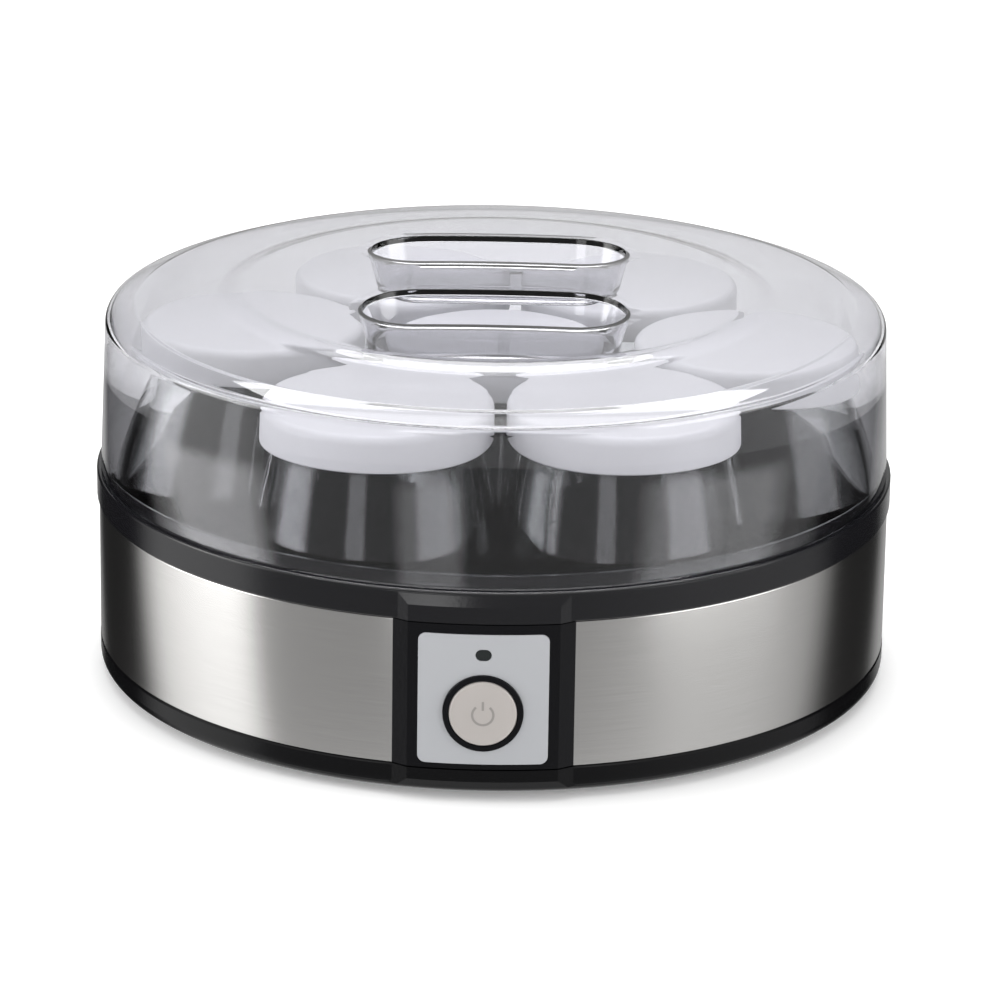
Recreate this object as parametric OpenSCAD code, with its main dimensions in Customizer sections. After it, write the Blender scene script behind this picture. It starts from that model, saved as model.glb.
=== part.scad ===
// Round yogurt maker: a heated tub with seven glass jars under a clear domed lid.
// Millimetres, +Z up, origin on the table under the middle of the body.
// The control panel faces -Y and the mains cord gland faces +Y.

/* [Body] */
// Outer radius of the black rim ring, the widest round piece
rim_r = 120; // [118:0.5:124]
// Height of the rim ring's top face above the table
rim_top = 62.8; // [62:0.2:64]
// Height of the rim ring's lower edge, where the steel band starts
rim_bottom = 54; // [53.5:0.1:54.5]
// Height of the locating lip inside the lid
lip_top = 66.8; // [65.5:0.1:68]
// Inner radius of the tub
tub_r = 111; // [110.8:0.1:111.2]
// Height of the tub floor's upper face
tub_floor = 21; // [20.5:0.1:21.2]
// Wall of the plastic mouldings
wall = 2.2; // [2:0.1:2.3]
// Thickness of the steel band
band_t = 0.5; // [0.4:0.1:0.6]
// Top of the visible part of the base housing
base_top = 10; // [9.8:0.1:10.1]

/* [Panel] */
// Outer radius of the bezel's curved face
bezel_r = 121.3; // [121:0.1:121.5]
// Width across the bezel's front face
bezel_front_w = 43; // [42:0.5:44]
// Width across the bezel at the steel band
bezel_back_w = 48.8; // [48:0.2:50]
// Width of the label plate
label_w = 37; // [35:0.5:38]
// Height of the label plate
label_h = 39; // [38:0.5:39.5]
// Height of the label plate's lower edge
label_z = 12; // [11.9:0.1:12.2]
// Diameter of the push button
button_d = 19.4; // [18:0.2:20]
// Height of the button's centre
button_z = 27.5; // [27:0.5:29]
// How far the button travels
button_travel = 2; // [1:0.5:2.5]
// Width of the indicator window
window_w = 4.4; // [4:0.1:5]
// Height of the indicator window
window_h = 3.2; // [3:0.1:3.6]
// Height of the indicator window's centre
window_z = 44.9; // [44.5:0.1:45.2]

/* [Lid] */
// Outer radius of the lid at its lower edge
lid_r = 118.7; // [118:0.1:119]
// Wall of the clear lid
lid_t = 2; // [1.8:0.1:2.2]
// Height of the outer shoulder corner
lid_corner_z = 110.5; // [109.5:0.5:112]
// Height of the dome's middle
lid_top = 121; // [120.5:0.5:122]
// Width of a finger well, front to back
well_w = 32.2; // [31:0.2:33]
// Length of a finger well, side to side
well_l = 78.2; // [74:0.2:80]
// Width of the grip bar between the wells
grip_w = 30.4; // [29:0.2:32]
// Height of the wells' floor
well_floor = 108; // [107.5:0.1:108.5]

/* [Jars] */
// Radius of a jar's belly
jar_r = 35.2; // [34.8:0.1:35.2]
// Height of a jar without its cap
jar_h = 77.6; // [76.5:0.1:77.7]
// Glass thickness of a jar's side
jar_wall = 2.6; // [2.4:0.1:2.8]
// Angle by which the whole set of jars is turned in the tub
jar_turn = 0; // [-1:0.5:1]
// Outer radius of a cap
cap_r = 33.7; // [33.5:0.1:34]
// Height of a cap
cap_h = 10; // [9.6:0.2:11]

/* [Hidden] */

// A small gap that keeps neighbouring pieces apart
gap = 0.1;
// A gap between pieces that lift off each other
lift_gap = 0.3;
round_fn = 64;
small_fn = 32;

foot_h = 2;
base_z = foot_h;
base_floor = base_z + wall;
base_r = rim_r - 0.6;
band_r = rim_r - 0.7;
band_inner_r = band_r - band_t;
locate_r = band_inner_r - 0.2;
tub_under = tub_floor - wall;
tub_outer_r = tub_r + wall;
lip_r = lid_r - lid_t - 2.1;

// The panel's straight side faces run through these two points
panel_front_x = bezel_front_w / 2;
panel_back_x = bezel_back_w / 2;
panel_front_y = sqrt(bezel_r * bezel_r - panel_front_x * panel_front_x);
panel_back_y = sqrt(rim_r * rim_r - panel_back_x * panel_back_x);
panel_slope = (panel_back_x - panel_front_x) / (panel_front_y - panel_back_y);
panel_opening_x = 20;
pod_x = 16;
pod_y = 95.8;
pod_top = 51;

board_front_y = -102;
board_t = 1.6;
board_x = 13.2;
board_low_z = 9;
board_high_z = 48;
post_x = 10.8;
post_r = 2.4;
post_low_z = 13.1;
post_high_z = 44.6;

heat_plate_r = 80;
heat_plate_t = 1.2;
heat_plate_z = tub_under - gap - heat_plate_t;
clamp_ring_r = 86;
clamp_angles = [45, 165, 285];
wire_r = 1.5;
wire_z = heat_plate_z - gap - wire_r;
// The heating wire's spiral
wire_turns = 3;
wire_start_r = 34;
wire_end_r = 62;
wire_start_a = -60;
pad_t = 2.2;
pad_z = 10.8;
pad_r = 74;

base_screw_r = 104;
base_screw_angles = [20, 160, 200, 340];
foot_ring_r = 98;
foot_angles = [45, 135, 225, 315];
foot_r = 8;
gland_z = 11.4;
gland_bore_r = 3.2;
gland_neck_r = 4.8;
gland_flange_r = 6.6;
// The button's dome and the gland's nose reach equally far from the middle
button_dome_y = 123;
gland_nose_y = button_dome_y;
inlet_x = 10;
inlet_top = 19.4;

jar_z = tub_floor + lift_gap;
jar_top = jar_z + jar_h;
jar_belly_low = 10;
jar_belly_high = 37;
jar_neck_r = 30.6;
jar_lip_r = 31.5;
jar_mouth_r = 29;
cap_wall = 1.5;
cap_top_z = jar_top + lift_gap + cap_wall;
cap_z = cap_top_z - cap_h;

// The dome ends in a small step, and a shallow cone runs from there to the shoulder's crease
dome_r = 77;
dome_edge_z = lid_top - 3.4;
step_foot_r = 84;
step_foot_z = lid_top - 5.1;
crease_r = 108;
crease_z = lid_corner_z + 2.6;
dome_sphere_r = (dome_r * dome_r + pow(lid_top - dome_edge_z, 2)) / (2 * (lid_top - dome_edge_z));
well_y = grip_w / 2 + well_w / 2;
well_end_x = (well_l - well_w) / 2;
well_draft = 0.24;

// The jars stand loosely: distance from the middle and angle of the middle one, then of the six
// round it, of which the two at the panel stand against the middle one and the others at the wall
jar_spots = [[0, 0], [75.3, 0.8], [75, 57.4], [75, 114], [74.5, 171], [70.9, 242.6], [70.9, 302.6]];

function jar_place(i) = let (spot = jar_spots[i - 1], a = spot[1] + jar_turn)
    spot[0] * [cos(a), sin(a)];

// Points of an arc about c, from angle a0 to a1
function arc(c, r, a0, a1, n = 8) =
    [for (i = [0:n]) let (a = a0 + (a1 - a0) * i / n) [c[0] + r * cos(a), c[1] + r * sin(a)]];

module spun(points, fn = round_fn) {
    rotate_extrude($fn = fn) polygon(points);
}

module along_y(y0, y1, r, fn = small_fn) {
    translate([0, y0, 0]) rotate([-90, 0, 0]) cylinder(h = y1 - y0, r = r, $fn = fn);
}

module box(low, high) {
    translate(low) cube(high - low);
}

function unit(v) = v / norm(v);

// A point of the smooth curve that runs through b and c, a part s of the way between them
function curve_point(a, b, c, d, s) =
    0.5 * (2 * b + (c - a) * s + (2 * a - 5 * b + 4 * c - d) * s * s
           + (3 * b - a - 3 * c + d) * s * s * s);

function smooth_route(p, steps = 4) = let (last = len(p) - 1) concat(
    [for (i = [0:last - 1], s = [0:steps - 1])
        curve_point(p[max(i - 1, 0)], p[i], p[i + 1], p[min(i + 2, last)], s / steps)],
    [p[last]]);

function ring_at(p, i, r, sides) =
    let (t = unit(p[min(i + 1, len(p) - 1)] - p[max(i - 1, 0)]),
         u = unit(cross(t, [0.05, 0.03, 1])),
         v = cross(t, u))
    [for (k = [0:sides - 1]) p[i] + r * (cos(360 * k / sides) * u + sin(360 * k / sides) * v)];

// A round wire along a route
module wire(p, r, sides = 8) {
    last = (len(p) - 1) * sides;
    polyhedron(
        [for (i = [0:len(p) - 1]) each ring_at(p, i, r, sides)],
        concat(
            [[for (k = [0:sides - 1]) k]],
            [for (i = [0:len(p) - 2], k = [0:sides - 1])
                let (a = i * sides + k, b = i * sides + (k + 1) % sides)
                each [[a, b + sides, b], [a, a + sides, b + sides]]],
            [[for (k = [sides - 1:-1:0]) last + k]]));
}

// Everything between the panel's slanting side faces, in front of y = -back
module panel_wedge(low, high, extra = 0) {
    near = 124;
    far = 110;
    near_x = panel_front_x - (near - panel_front_y) * panel_slope + extra;
    far_x = panel_back_x + (panel_back_y - far) * panel_slope + extra;
    translate([0, 0, low]) linear_extrude(high - low)
        polygon([[-far_x, -far], [-near_x, -near], [near_x, -near], [far_x, -far]]);
}

module rounded_plate(w, h, r, y0, y1) {
    for (x = [-1, 1], z = [r, h - r])
        translate([x * (w / 2 - r), 0, z]) along_y(y0, y1, r);
    box([-w / 2, y0, r], [w / 2, y1, h - r]);
    box([-w / 2 + r, y0, 0], [w / 2 - r, y1, h]);
}

module oval(w, h, y0, y1) {
    for (x = [-1, 1]) translate([x * (w - h) / 2, 0, 0]) along_y(y0, y1, h / 2);
    box([-(w - h) / 2, y0, -h / 2], [(w - h) / 2, y1, h / 2]);
}

module tub() {
    color([0.09, 0.09, 0.10]) difference() {
        union() {
            // floor, wall, lip and the rim ring with its skirt
            spun(concat(
                [[0, tub_under], [tub_outer_r - 2, tub_under], [tub_outer_r, tub_under + 2],
                 [tub_outer_r, rim_top - wall - 1], [rim_r - 2.8, rim_top - wall - 1],
                 [rim_r - 2.8, rim_bottom - 5], [locate_r, rim_bottom - 5], [locate_r, rim_bottom],
                 [rim_r - 0.4, rim_bottom], [rim_r, rim_bottom + 0.4]],
                arc([rim_r - 0.7, rim_top - 0.7], 0.7, 0, 90, 4),
                [[lip_r, rim_top], [lip_r, lip_top - 0.6]],
                arc([lip_r - 0.6, lip_top - 0.6], 0.6, 0, 90, 3),
                [[tub_r + 0.4, lip_top], [tub_r, lip_top - 0.4]],
                arc([tub_r - 3, tub_floor + 3], 3, 0, -90, 5),
                [[0, tub_floor]]));
            visor();
            // the pod that makes room for the switch
            intersection() {
                box([-pod_x, -tub_r - 1, tub_under], [pod_x, -pod_y, pod_top]);
                cylinder(h = 100, r = tub_outer_r, $fn = round_fn);
            }
            // bosses for the base screws and the plate clamps
            for (a = base_screw_angles) rotate(a) translate([base_screw_r, 0, base_top])
                cylinder(h = tub_under - base_top + 1, r = 4, $fn = small_fn);
            for (a = clamp_angles) rotate(a) translate([clamp_ring_r, 0, heat_plate_z + gap])
                cylinder(h = heat_plate_t + 1, r = 4, $fn = small_fn);
        }
        box([-pod_x + wall, -tub_outer_r - 1, tub_under - 1], [pod_x - wall, -pod_y - wall, pod_top - wall]);
        // the locating rib is cut away behind the bezel
        box([-panel_opening_x, -rim_r, rim_bottom - 6], [panel_opening_x, -tub_outer_r - 0.5, rim_bottom]);
        for (a = base_screw_angles) rotate(a) translate([base_screw_r, 0, base_top - 1])
            cylinder(h = 8, r = 1.75, $fn = small_fn);
        for (a = clamp_angles) rotate(a) translate([clamp_ring_r, 0, heat_plate_z])
            cylinder(h = 2.6, r = 1.3, $fn = small_fn);
    }
}

// The rim ring's bulge over the panel, which slopes back to the ring
module visor() {
    intersection() {
        spun([[rim_r - 2, rim_bottom + 0.1], [bezel_r, rim_bottom + 0.1],
              [bezel_r, rim_top - 3.8], [rim_r - 0.3, rim_top - 0.2], [rim_r - 2, rim_top - 0.2]], 128);
        panel_wedge(rim_bottom, rim_top + 1);
    }
}

module steel_band() {
    color([0.72, 0.71, 0.69]) difference() {
        spun([[band_inner_r, base_top + 0.3], [band_r, base_top + 0.3],
              [band_r, rim_bottom - 0.2], [band_inner_r, rim_bottom - 0.2]], 128);
        box([-panel_opening_x, -rim_r - 5, 0], [panel_opening_x, -rim_r + 10, 60]);
        box([-inlet_x - gap, rim_r - 10, 0], [inlet_x + gap, rim_r + 5, inlet_top + gap]);
    }
}

module base_housing() {
    color([0.06, 0.06, 0.065]) difference() {
        union() {
            spun(concat(
                [[0, base_z]],
                arc([base_r - 3.4, base_z + 3.4], 3.4, -90, 0, 6),
                [[base_r, base_top - 0.5], [base_r - 0.5, base_top], [locate_r, base_top],
                 [locate_r, base_top + 5], [locate_r - 1.6, base_top + 5],
                 [locate_r - 1.6, base_floor + 3], [locate_r - 4.6, base_floor], [0, base_floor]]));
            // bulge below the panel
            intersection() {
                spun([[rim_r - 2, base_z + 2], [rim_r, base_z + 2], [bezel_r, base_z + 4.5],
                      [bezel_r, base_top], [rim_r - 2, base_top]], 128);
                panel_wedge(base_z, base_top);
            }
            // cord inlet wall at the back
            intersection() {
                spun([[base_r - 4, base_z + 1], [base_r, base_z + 3], [base_r, inlet_top],
                      [base_r - 4, inlet_top]]);
                box([-inlet_x, 0, 0], [inlet_x, rim_r + 1, inlet_top]);
            }
            for (a = base_screw_angles) rotate(a) translate([base_screw_r, 0, base_z + 1])
                cylinder(h = base_top - base_z - 1 - gap, r = 5.4, $fn = small_fn);
            // posts that carry the insulation pad
            for (a = [0, 120, 240]) rotate(a) translate([pad_r - 5, 0, base_z + 1])
                cylinder(h = pad_z - base_z - 1 - gap, r = 3, $fn = small_fn);
        }
        for (a = base_screw_angles) rotate(a) translate([base_screw_r, 0, 0]) {
            cylinder(h = base_z + 3.4, r = 3.7, $fn = small_fn);
            cylinder(h = base_top + 1, r = 1.9, $fn = small_fn);
        }
        for (a = foot_angles) rotate(a) translate([foot_ring_r, 0, 0])
            cylinder(h = base_z + 1.1, r = foot_r + gap, $fn = small_fn);
        // vent slots in the floor
        for (a = [0:30:330]) rotate(a + 15) box([44, -1.5, base_z - 1], [66, 1.5, base_floor + 1]);
        // room for the bezel's lower tongue
        box([-panel_opening_x, -rim_r, base_top], [panel_opening_x, -112, base_top + 6]);
        translate([0, 0, gland_z]) along_y(base_r - 12, rim_r + 2, gland_neck_r + gap, round_fn);
    }
}

module rubber_feet() {
    color([0.12, 0.12, 0.12]) for (a = foot_angles) rotate(a) translate([foot_ring_r, 0, 0])
        spun([[0, 0], [foot_r - 0.8, 0], [foot_r, 0.8], [foot_r, base_z + 1], [0, base_z + 1]], small_fn);
}

// A pan-head screw pointing up, its head's lower face at z = 0
module screw(head_r, head_h, shaft_r, length) {
    difference() {
        spun([[0, 0], [head_r - 0.5, 0], [head_r, 0.5], [head_r, head_h], [shaft_r, head_h],
              [shaft_r, length - 1], [shaft_r * 0.4, length], [0, length]], small_fn);
        for (a = [0, 90]) rotate(a) box([-head_r * 0.6, -0.35, -0.1], [head_r * 0.6, 0.35, head_h * 0.5]);
    }
}

module base_screws() {
    color([0.7, 0.7, 0.72]) for (a = base_screw_angles) rotate(a)
        translate([base_screw_r, 0, base_z + 1]) screw(3.4, 2.3, 1.65, 14);
}

module heating_plate() {
    color([0.8, 0.8, 0.82]) spun([[0, heat_plate_z], [heat_plate_r - 1.2, heat_plate_z],
        [heat_plate_r - 1.2, heat_plate_z - 2.6], [heat_plate_r, heat_plate_z - 2.6],
        [heat_plate_r, heat_plate_z + heat_plate_t], [0, heat_plate_z + heat_plate_t]]);
}

// Small steel tabs that reach from the tub's bosses under the plate's rim
module plate_clamps() {
    top = heat_plate_z - 2.6 - gap;
    color([0.65, 0.65, 0.66]) for (a = clamp_angles) rotate(a) difference() {
        union() {
            box([76, -5, top - 1], [92, 5, top]);
            box([82, -5, top - 1], [92, 5, heat_plate_z]);
        }
        translate([clamp_ring_r, 0, 0]) cylinder(h = 60, r = 1.8, $fn = small_fn);
    }
}

module plate_screws() {
    top = heat_plate_z - 2.6 - gap;
    color([0.7, 0.7, 0.72]) for (a = clamp_angles) rotate(a)
        translate([clamp_ring_r, 0, top - 1 - gap - 1.8]) screw(3, 1.8, 1.2, 7);
}

function wire_loop_r(turn) = wire_start_r + (wire_end_r - wire_start_r) * turn / wire_turns;

function spiral_point(turn, z = wire_z) = let (a = wire_start_a + 360 * turn)
    [wire_loop_r(turn) * cos(a), wire_loop_r(turn) * sin(a), z];

// A flat spiral of silicone-covered wire under the heating plate
module heating_wire() {
    color([0.85, 0.35, 0.2])
        wire([for (k = [0:24 * wire_turns]) spiral_point(k / 24)], wire_r);
}

// Aluminium straps over the heating wire
module wire_clips() {
    color([0.75, 0.75, 0.77]) for (turn = [1 / 3:1 / 3:wire_turns - 0.2])
        rotate(wire_start_a + 360 * turn) translate([wire_loop_r(turn), 0, 0]) difference() {
            box([-3.6, -2, wire_z - wire_r - 0.7], [3.6, 2, heat_plate_z - gap / 2]);
            box([-wire_r - 0.4, -3, wire_z - wire_r - 0.25], [wire_r + 0.4, 3, wire_z + wire_r + 0.05]);
        }
}

module insulation_pad() {
    color([0.9, 0.88, 0.8]) difference() {
        spun([[10.6, pad_z], [pad_r, pad_z], [pad_r, pad_z + pad_t], [10.6, pad_z + pad_t]]);
        // notch that the heater's lead wires rise through
        rotate(wire_start_a) box([26, -16, pad_z - 1], [pad_r + 6, 16, pad_z + pad_t + 1]);
    }
}

module thermostat() {
    color([0.2, 0.17, 0.15]) {
        translate([0, 0, heat_plate_z - gap - 1.4]) cylinder(h = 1.4, r = 8.4, $fn = round_fn);
        translate([0, 0, heat_plate_z - gap - 6.4]) cylinder(h = 5, r = 7.2, $fn = round_fn);
        for (x = [-1, 1]) box([x * 4.2 - 1.6, -0.4, heat_plate_z - gap - 11], [x * 4.2 + 1.6, 0.4,
            heat_plate_z - gap - 6]);
    }
}

// Spring strip that presses the thermostat's flange against the plate
module thermostat_bracket() {
    top = heat_plate_z - gap - 1.5;
    color([0.7, 0.68, 0.6]) difference() {
        union() {
            box([-26, -4, top - 0.8], [26, 4, top]);
            translate([0, 0, top - 0.8]) cylinder(h = 0.8, r = 10, $fn = round_fn);
            for (x = [-26, 23]) box([x, -4, top - 0.8], [x + 3, 4, heat_plate_z - gap]);
        }
        cylinder(h = 60, r = 7.4, $fn = round_fn);
    }
}

module thermal_fuse() {
    color([0.82, 0.8, 0.7]) translate([40.2, 0, wire_z - 0.2]) {
        translate([0, -6, 0]) rotate([-90, 0, 0]) cylinder(h = 12, r = 1.6, $fn = small_fn);
        translate([0, -10, 0]) rotate([-90, 0, 0]) cylinder(h = 20, r = 0.6, $fn = 16);
    }
}

module terminal_block() {
    color([0.85, 0.84, 0.8]) difference() {
        box([-12, 84, base_floor + gap], [12, 98, base_floor + 9]);
        for (x = [-7.5, 7.5]) translate([x, 0, base_floor + 4]) along_y(80, 100, 1.8);
        for (x = [-7.5, 7.5], y = [87.5, 94.5]) translate([x, y, base_floor + 5])
            cylinder(h = 6, r = 1.7, $fn = small_fn);
        translate([0, 91, 0]) cylinder(h = 30, r = 1.9, $fn = small_fn);
    }
}

module terminal_screw() {
    color([0.7, 0.7, 0.72]) translate([0, 91, base_floor + 11.5]) rotate([180, 0, 0])
        screw(3, 2.2, 1.6, 11.2);
}

// Two mains wires along the base floor to the switch board
module supply_wires() {
    color([0.45, 0.3, 0.2]) for (x = [-1, 1])
        wire(smooth_route([[x * 7.5, 83.8, 8.2], [x * 11, 72, 6.4], [x * 12, 30, 6], [x * 12, -40, 6],
                           [x * 7, -80, 6.6], [x * 6, -93, 10.6], [x * 6, -97, 12.4], [x * 6, -99.9, 12.6]]), 1.1);
}

// Two wires from the switch board to the heating wire's ends
module heater_wires() {
    outer_end = spiral_point(wire_turns) + [0.9, 0.5, 0];
    inner_end = spiral_point(0) - [0.9, 0.5, 0];
    color([0.8, 0.8, 0.82]) {
        wire(smooth_route([[10, -99.7, 16], [10, -97, 15.9], [20, -80, 8.8], [38, -62, 8.6],
                           [42, -50, 10.5], [38, -49.4, 14.6], outer_end]), 1);
        wire(smooth_route([[0, -99.7, 16], [0, -97, 15.9], [2, -78, 8.8], [5, -52, 8.6],
                           [7, -38, 10.5], [11, -33, 14.8], inner_end]), 1);
    }
}

// Flanged bush in the back wall that the mains cord passes through
module cord_gland() {
    color([0.1, 0.1, 0.1]) translate([0, 0, gland_z]) difference() {
        union() {
            along_y(base_r - 6.6, gland_nose_y, gland_neck_r, round_fn);
            along_y(base_r, base_r + 1.5, gland_flange_r, round_fn);
            along_y(base_r - 6.6, base_r - 4.6, gland_neck_r + 1, round_fn);
        }
        along_y(base_r - 10, gland_nose_y + 1, gland_bore_r, round_fn);
    }
}

// Posts from the bezel's back face to the switch board
module board_posts(r, y0, y1) {
    for (x = [-post_x, post_x], z = [post_low_z, post_high_z]) translate([x, 0, z]) along_y(y0, y1, r);
}

module panel_bezel() {
    face_low = base_top + 0.4;
    face_high = rim_bottom - 0.2;
    color([0.05, 0.05, 0.055]) difference() {
        union() {
            intersection() {
                spun([[band_r + gap, face_low], [bezel_r, face_low], [bezel_r, face_high],
                      [band_r + gap, face_high]], 128);
                panel_wedge(face_low, face_high);
            }
            // tongues behind the rim skirt and the base wall
            intersection() {
                spun([[115, face_low - 2.6], [116.8, face_low - 2.6], [116.8, face_low],
                      [band_r + 1, face_low], [band_r + 1, face_low + 2.6], [115, face_low + 2.6]]);
                box([-panel_opening_x + 0.5, -rim_r, 0], [panel_opening_x - 0.5, 0, 60]);
            }
            intersection() {
                spun([[115, 50], [band_r + 1, 50], [band_r + 1, rim_bottom - 0.4],
                      [116.8, rim_bottom - 0.4], [116.8, rim_bottom + 4], [115, rim_bottom + 4]]);
                box([-panel_opening_x + 0.5, -rim_r, 0], [panel_opening_x - 0.5, 0, 60]);
            }
            board_posts(post_r, -119, board_front_y - gap);
            // collar that the button runs in
            translate([0, 0, button_z]) along_y(-121.9, -113, 11.4, round_fn);
        }
        translate([0, 0, button_z]) along_y(-130, -100, button_d / 2 + 0.15, round_fn);
        translate([0, 0, window_z]) oval(window_w + 0.2, window_h + 0.2, -130, -110);
        board_posts(1, board_front_y - 9, board_front_y + 1);
        // pocket for the label plate
        difference() {
            intersection() {
                spun([[bezel_r - 0.6, 5], [bezel_r + 2, 5], [bezel_r + 2, 60], [bezel_r - 0.6, 60]], 128);
                translate([0, 0, label_z - gap])
                    rounded_plate(label_w + 2 * gap, label_h + 2 * gap, 2.4, -130, -100);
            }
            translate([0, 0, button_z]) along_y(-130, -100, 11.4, round_fn);
        }
    }
}

module label_plate() {
    color([0.75, 0.76, 0.78]) difference() {
        intersection() {
            spun([[bezel_r - 0.55, 5], [bezel_r + 0.1, 5], [bezel_r + 0.1, 60], [bezel_r - 0.55, 60]], 128);
            translate([0, 0, label_z]) rounded_plate(label_w, label_h, 2.3, -130, -100);
        }
        translate([0, 0, button_z]) along_y(-130, -100, 11.5, round_fn);
        translate([0, 0, window_z]) oval(window_w + 0.2, window_h + 0.2, -130, -100);
    }
}

module indicator_window() {
    color([0.25, 0.27, 0.27]) translate([0, 0, window_z]) {
        intersection() {
            oval(window_w, window_h, -121.5, -108);
            translate([0, 0, -5]) cylinder(h = 10, r = bezel_r + 0.05, $fn = 128);
        }
    }
}

module indicator_lamp() {
    color([0.9, 0.5, 0.2]) translate([0, 0, window_z]) {
        along_y(-107.4, board_front_y - 1.2, 1.5);
        along_y(board_front_y - 1.3, board_front_y - gap, 1.9);
    }
}

module switch_board() {
    color([0.1, 0.35, 0.2]) difference() {
        box([-board_x, board_front_y, board_low_z], [board_x, board_front_y + board_t, board_high_z]);
        board_posts(1.5, -110, -90);
    }
}

module board_screws() {
    color([0.7, 0.7, 0.72]) for (x = [-post_x, post_x], z = [post_low_z, post_high_z])
        translate([x, board_front_y + board_t + gap + 1.2, z]) rotate([90, 0, 0])
            screw(2.4, 1.2, 0.95, 8);
}

module push_switch() {
    color([0.15, 0.15, 0.16]) translate([0, 0, button_z]) difference() {
        box([-6, board_front_y - 6, -6], [6, board_front_y - gap, 6]);
        along_y(board_front_y - 7, board_front_y - 0.8, 2.5);
    }
}

// The switch's moving pin, which the button pushes
module switch_plunger() {
    color([0.9, 0.9, 0.88]) translate([0, 0, button_z]) {
        along_y(-111.4, board_front_y - 0.8 - button_travel - 0.3, 2.2);
    }
}

module button_cap() {
    color([0.85, 0.83, 0.8]) translate([0, 0, button_z]) {
        difference() {
            rotate([90, 0, 0]) spun(concat(
                [[0, 112.6], [button_d / 2, 112.6], [button_d / 2, button_dome_y - 1.6]],
                arc([button_d / 2 - 0.9, button_dome_y - 1.6], 0.9, 0, 75, 4),
                [[button_d / 4, button_dome_y - 0.12], [0, button_dome_y]]));
            along_y(-119.5, -110, 8, round_fn);
        }
        // hub that sits on the plunger, and its four webs
        difference() {
            union() {
                along_y(-120, -112.6, 4, small_fn);
                for (a = [0, 90]) rotate([0, a, 0]) box([-8.4, -120, -0.6], [8.4, -116, 0.6]);
            }
            along_y(-116, -110, 2.25, small_fn);
        }
    }
}

// A sunken stadium with drafted sides, from its floor to above the dome
module well_shape(grow, low, high) {
    floor_r = well_w / 2 - (lid_top - well_floor) * well_draft + grow;
    low_r = floor_r + (low - well_floor) * well_draft;
    high_r = floor_r + (high - well_floor) * well_draft;
    for (x = [-1, 1]) translate([x * well_end_x, 0, low])
        cylinder(h = high - low, r1 = low_r, r2 = high_r, $fn = round_fn);
    rotate([90, 0, 90]) translate([0, 0, -well_end_x]) linear_extrude(2 * well_end_x)
        polygon([[-low_r, low], [low_r, low], [high_r, high], [-high_r, high]]);
}

// The dome's underside, or its top when t is 0
module under_dome(t) {
    translate([0, 0, lid_top - dome_sphere_r - t]) sphere(r = dome_sphere_r, $fn = 200);
}

module lid_profile() {
    low = rim_top + lift_gap;
    wall_slope = (lid_r - 117) / (lid_corner_z - low);
    corner_r = lid_r - wall_slope * (lid_corner_z - low - 2);
    spun(concat(
        [[lid_r - lid_t, low], [lid_r, low], [corner_r, lid_corner_z - 2]],
        arc([corner_r - 2.4, lid_corner_z - 2], 2.4, 0, 74, 6),
        [[crease_r, crease_z], [step_foot_r, step_foot_z], [dome_r, dome_edge_z]],
        [for (k = [1:7]) let (r = dome_r * (1 - k / 7))
            [r, lid_top - dome_sphere_r + sqrt(dome_sphere_r * dome_sphere_r - r * r)]],
        [for (k = [7:-1:0]) let (r = dome_r * (1 - k / 7))
            [r, lid_top - lid_t - dome_sphere_r + sqrt(dome_sphere_r * dome_sphere_r - r * r)]],
        [[step_foot_r - 0.3, step_foot_z - lid_t], [crease_r - 0.3, crease_z - lid_t],
         [corner_r - 3.4, lid_corner_z - 1.2]],
        [[corner_r - lid_t, lid_corner_z - 3]]), 128);
}

module lid() {
    color([0.85, 0.86, 0.9, 0.35]) difference() {
        union() {
            lid_profile();
            for (s = [-1, 1]) translate([0, s * well_y, 0]) intersection() {
                well_shape(lid_t, well_floor - lid_t, lid_top + 1);
                under_dome(0.5);
            }
        }
        for (s = [-1, 1]) translate([0, s * well_y, 0]) well_shape(0, well_floor, lid_top + 3);
    }
}

module jar(i) {
    belly_low = jar_z + jar_belly_low;
    belly_high = jar_z + jar_belly_high;
    shoulder_h = jar_top - 10 - belly_high;
    drop = jar_r - jar_neck_r;
    bend_r = (shoulder_h * shoulder_h + drop * drop) / (2 * drop);
    bend_a = asin(shoulder_h / bend_r);
    in_r = bend_r - jar_wall;
    color([0.8, 0.83, 0.85, 0.35]) translate(jar_place(i)) spun(concat(
        [[0, jar_z + 1.4], [22, jar_z + 1.2], [27, jar_z]],
        arc([jar_r - 4.6, jar_z + 4], 4, -90, -12, 5),
        [[jar_r, belly_low], [jar_r, belly_high]],
        arc([jar_r - bend_r, belly_high], bend_r, 0, bend_a, 7),
        [[jar_neck_r, jar_top - 4], [jar_lip_r, jar_top - 3]],
        arc([jar_lip_r - 1, jar_top - 1], 1, 0, 90, 3),
        arc([jar_mouth_r + 1, jar_top - 1], 1, 90, 180, 3),
        [[jar_mouth_r - 0.8, jar_top - 9]],
        [for (k = [5:-1:0]) let (a = bend_a * k / 6)
            [jar_r - bend_r + in_r * cos(a), belly_high + in_r * sin(a)]],
        [[jar_r - jar_wall, belly_low + 2]],
        arc([jar_r - jar_wall - 6, jar_z + 10], 6, 0, -90, 5),
        [[0, jar_z + 4.6]]));
}

module cap(i) {
    under = cap_top_z - cap_wall;
    color([0.96, 0.96, 0.97]) translate(jar_place(i)) spun(concat(
        [[0, under], [jar_mouth_r - 1.8, under], [jar_mouth_r - 1.6, under - 3],
         [jar_mouth_r - 0.6, under - 3], [jar_mouth_r - 0.4, under], [cap_r - cap_wall, under],
         [cap_r - cap_wall, cap_z], [cap_r, cap_z]],
        arc([cap_r - 2.4, cap_top_z - 2.4], 2.4, 0, 90, 6),
        [[0, cap_top_z]]));
}

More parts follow.
